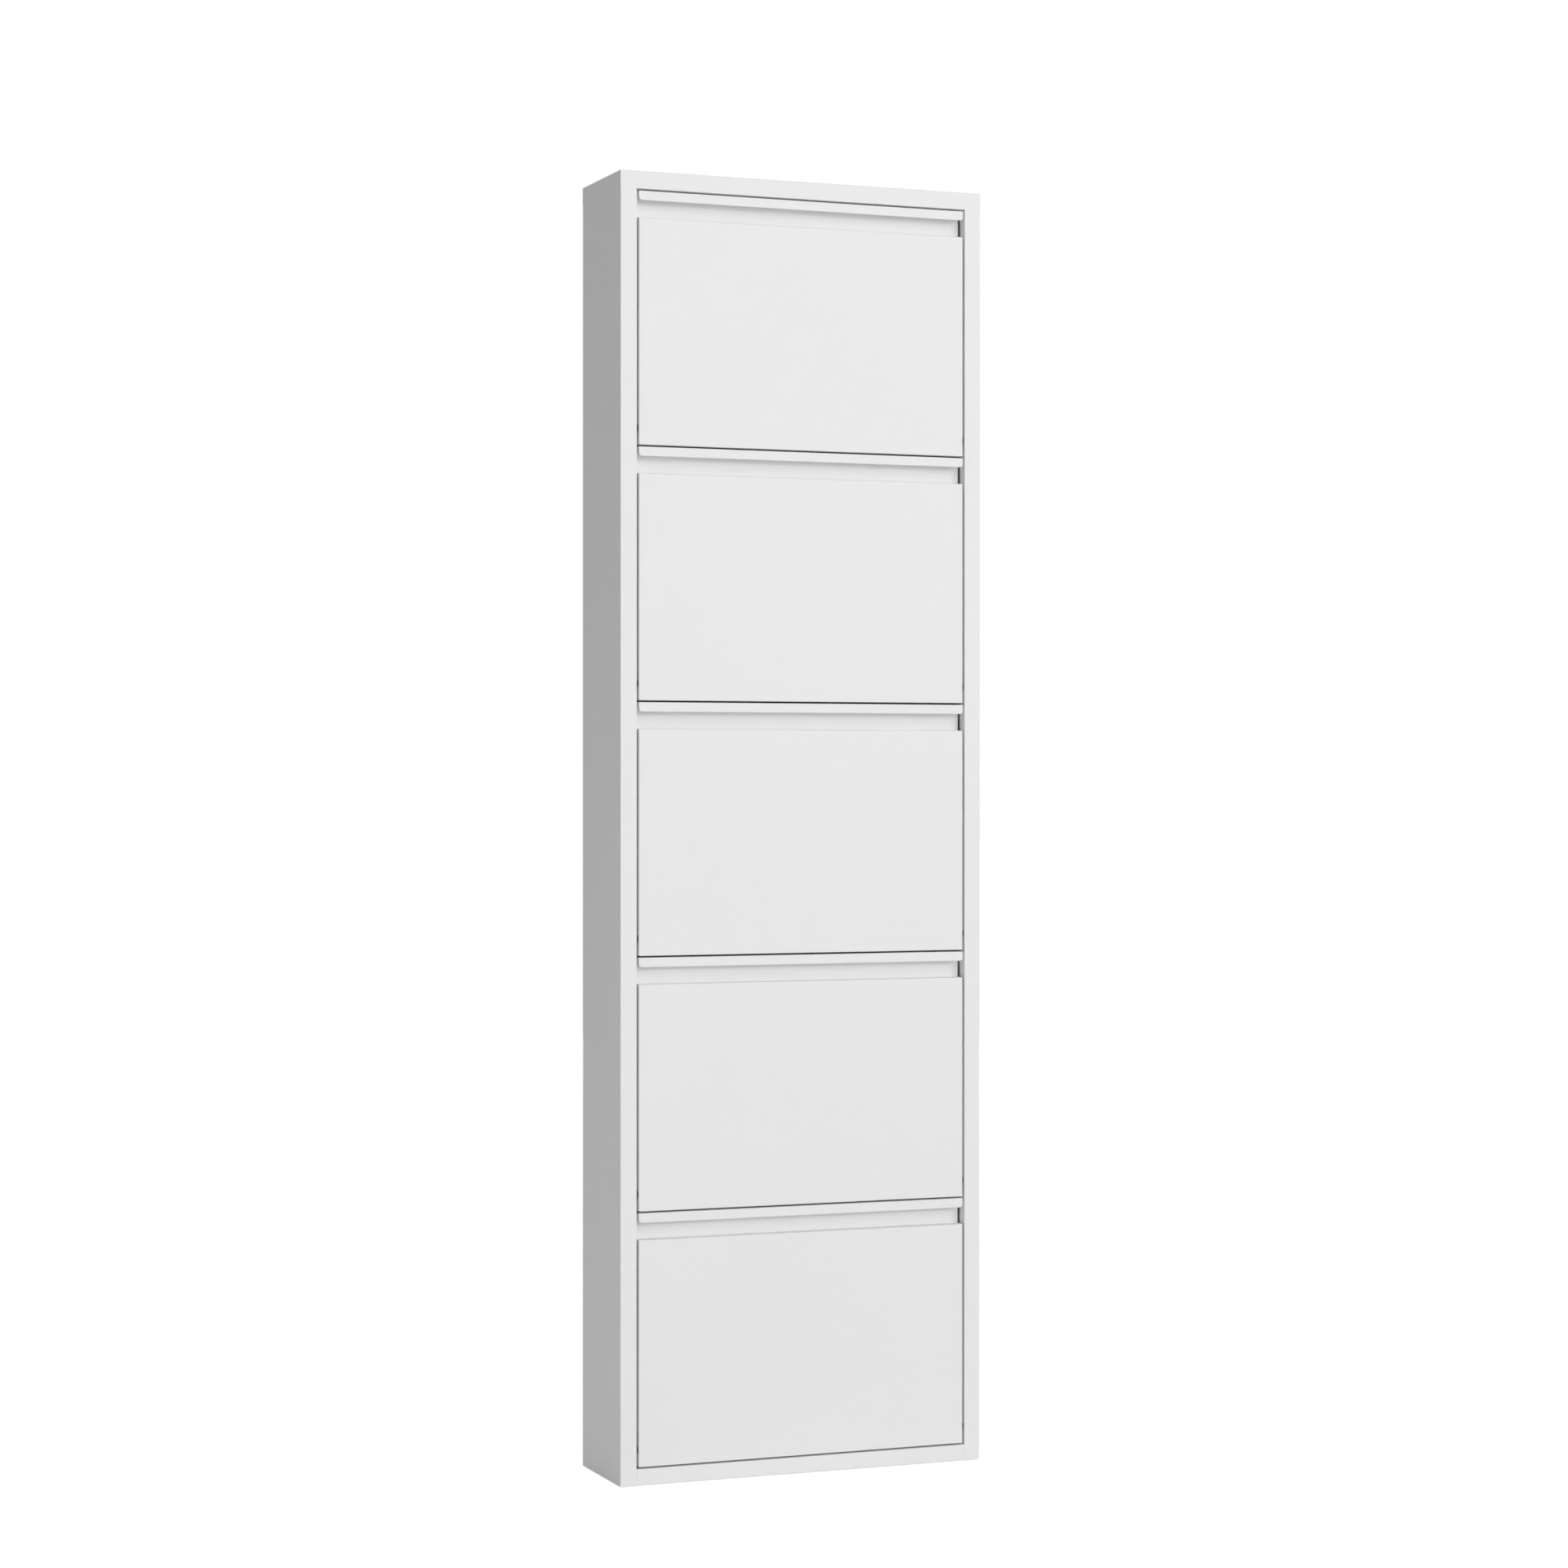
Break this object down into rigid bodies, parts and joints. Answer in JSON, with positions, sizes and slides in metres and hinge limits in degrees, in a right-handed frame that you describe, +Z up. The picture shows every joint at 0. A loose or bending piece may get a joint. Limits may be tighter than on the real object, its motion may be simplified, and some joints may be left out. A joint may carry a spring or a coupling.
{
  "type": "shoe cabinet",
  "caption": "Tall, slim shoe cabinet in white powder-coated sheet steel: tip-out flaps one above the other, each with a finger recess under a lip and a shoe tray inside.",
  "frame": {"origin": "on the floor under the middle of the cabinet: midway across its width and its depth, at the underside of the glides", "axes": "+X to the right of someone who faces the flaps, +Y from the front to the wall, +Z up"},
  "size_m": [0.504, 0.153, 1.6815],
  "materials": {
    "case_coat": "white powder coat with a fine orange-peel texture, semi-matt",
    "flap_coat": "white powder coat with a fine orange-peel texture, semi-matt",
    "tray_coat": "white powder coat, lightly rubbed by shoes",
    "zinc_steel": "bright zinc-plated steel",
    "nylon": "natural white moulded nylon, semi-matt",
    "black_nylon": "black moulded nylon, semi-matt",
    "rubber": "black rubber, dull"
  },
  "bodies": {
    "case": {"left_side_panel": "case_coat", "right_side_panel": "case_coat", "top_panel": "case_coat", "bottom_panel": "case_coat", "back_panel": "case_coat", "wall_plate_left": "zinc_steel", "wall_plate_right": "zinc_steel", "glide_front_left": "nylon", "glide_front_right": "nylon", "glide_rear_left": "nylon", "glide_rear_right": "nylon", "pivot_pin_1_left": "zinc_steel", "closing_buffer_1_left": "rubber", "pivot_pin_1_right": "zinc_steel", "closing_buffer_1_right": "rubber", "pivot_pin_2_left": "zinc_steel", "closing_buffer_2_left": "rubber", "pivot_pin_2_right": "zinc_steel", "closing_buffer_2_right": "rubber", "pivot_pin_3_left": "zinc_steel", "closing_buffer_3_left": "rubber", "pivot_pin_3_right": "zinc_steel", "closing_buffer_3_right": "rubber", "pivot_pin_4_left": "zinc_steel", "closing_buffer_4_left": "rubber", "pivot_pin_4_right": "zinc_steel", "closing_buffer_4_right": "rubber", "pivot_pin_5_left": "zinc_steel", "closing_buffer_5_left": "rubber", "pivot_pin_5_right": "zinc_steel", "closing_buffer_5_right": "rubber"},
    "flap_1": {"flap_1_front": "flap_coat", "flap_1_tray": "tray_coat", "flap_1_rod": "zinc_steel", "flap_1_bush_left": "black_nylon", "flap_1_bush_right": "black_nylon"},
    "flap_2": {"flap_2_front": "flap_coat", "flap_2_tray": "tray_coat", "flap_2_rod": "zinc_steel", "flap_2_bush_left": "black_nylon", "flap_2_bush_right": "black_nylon"},
    "flap_3": {"flap_3_front": "flap_coat", "flap_3_tray": "tray_coat", "flap_3_rod": "zinc_steel", "flap_3_bush_left": "black_nylon", "flap_3_bush_right": "black_nylon"},
    "flap_4": {"flap_4_front": "flap_coat", "flap_4_tray": "tray_coat", "flap_4_rod": "zinc_steel", "flap_4_bush_left": "black_nylon", "flap_4_bush_right": "black_nylon"},
    "flap_5": {"flap_5_front": "flap_coat", "flap_5_tray": "tray_coat", "flap_5_rod": "zinc_steel", "flap_5_bush_left": "black_nylon", "flap_5_bush_right": "black_nylon"}
  },
  "joints": [
    {"name": "flap_1_tilt", "type": "hinge", "parent": "case", "child": "flap_1", "pos_m": [0, -0.0675, 1.35412], "axis": [1, 0, 0], "range_deg": [0, 40]},
    {"name": "flap_2_tilt", "type": "hinge", "parent": "case", "child": "flap_2", "pos_m": [0, -0.0675, 1.02724], "axis": [1, 0, 0], "range_deg": [0, 40]},
    {"name": "flap_3_tilt", "type": "hinge", "parent": "case", "child": "flap_3", "pos_m": [0, -0.0675, 0.70036], "axis": [1, 0, 0], "range_deg": [0, 40]},
    {"name": "flap_4_tilt", "type": "hinge", "parent": "case", "child": "flap_4", "pos_m": [0, -0.0675, 0.37348], "axis": [1, 0, 0], "range_deg": [0, 40]},
    {"name": "flap_5_tilt", "type": "hinge", "parent": "case", "child": "flap_5", "pos_m": [0, -0.0675, 0.0466], "axis": [1, 0, 0], "range_deg": [0, 40]}
  ]
}
